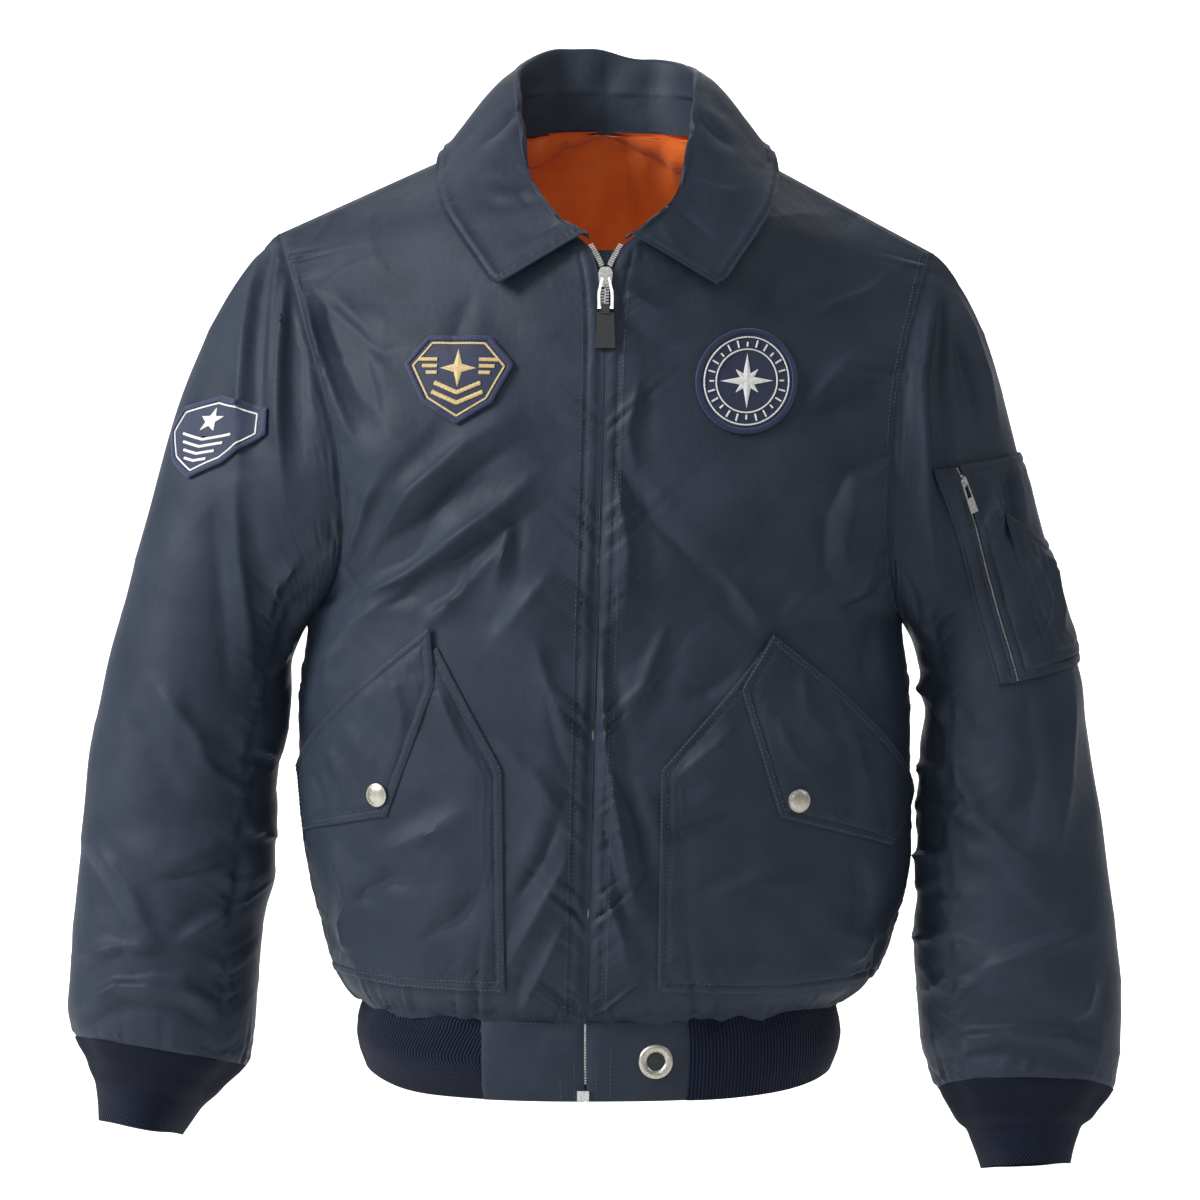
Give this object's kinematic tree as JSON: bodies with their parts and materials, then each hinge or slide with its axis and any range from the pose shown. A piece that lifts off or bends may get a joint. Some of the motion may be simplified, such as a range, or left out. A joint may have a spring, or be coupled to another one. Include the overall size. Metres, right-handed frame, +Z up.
{
  "type": "bomber jacket",
  "caption": "Hip-length nylon jacket with a padded shirt collar, zip front, slanted flap pockets, sleeve pocket and ribbed cuffs and hem.",
  "frame": {"origin": "middle of the shoulders, at the height of the shoulder points and half the depth of the body", "axes": "+X to the wearer's left, -Y to the front, +Z up"},
  "size_m": [0.7552, 0.2511, 0.8083],
  "materials": {
    "shell": "nylon with a soft sheen",
    "rib": "rib knit",
    "lining": "smooth nylon",
    "tape": "woven tape",
    "patch": "twill with embroidery",
    "metal": "satin",
    "snap": "worn satin",
    "tab": "satin"
  },
  "bodies": {
    "jacket": {"front_left": "shell", "front_right": "shell", "back": "shell", "sleeve_left_top": "shell", "sleeve_left_under": "shell", "sleeve_right_top": "shell", "sleeve_right_under": "shell", "cuff_left": "rib", "cuff_right": "rib", "hem_rib": "rib", "hem_block_left": "shell", "hem_block_right": "shell", "collar_fall": "shell", "collar_stand": "shell", "lining_back": "lining", "wind_flap": "shell", "zip_tape_left": "tape", "zip_tape_right": "tape", "zip_chain": "metal", "zip_slider": "metal", "zip_box": "metal", "pocket_left": "shell", "pocket_right": "shell", "flap_left": "shell", "flap_right": "shell", "snap_left": "snap", "snap_right": "snap", "eyelet": "metal", "sleeve_pocket": "shell", "pen_pocket": "shell", "sleeve_zip_facing": "shell", "sleeve_zip_slider": "metal", "patch_chest_right": "patch", "patch_chest_left": "patch", "patch_sleeve_right": "patch"},
    "zip_link": {"zip_link": "metal"},
    "zip_tab": {"zip_tab": "tab"},
    "sleeve_zip_pull": {"sleeve_zip_pull": "metal"}
  },
  "joints": [
    {"name": "zip_link_swing", "type": "hinge", "parent": "jacket", "child": "zip_link", "pos_m": [0.00378, -0.10777, -0.1046], "axis": [-1, 0, 0], "range_deg": [0, 120]},
    {"name": "zip_tab_swing", "type": "hinge", "parent": "zip_link", "child": "zip_tab", "pos_m": [0.00378, -0.11108, -0.12437], "axis": [-1, 0, 0], "range_deg": [0, 70]},
    {"name": "sleeve_zip_pull_swing", "type": "hinge", "parent": "jacket", "child": "sleeve_zip_pull", "pos_m": [0.25586, -0.068, -0.24491], "axis": [-0.8183, -0.4686, -0.333], "range_deg": [0, 100]}
  ]
}
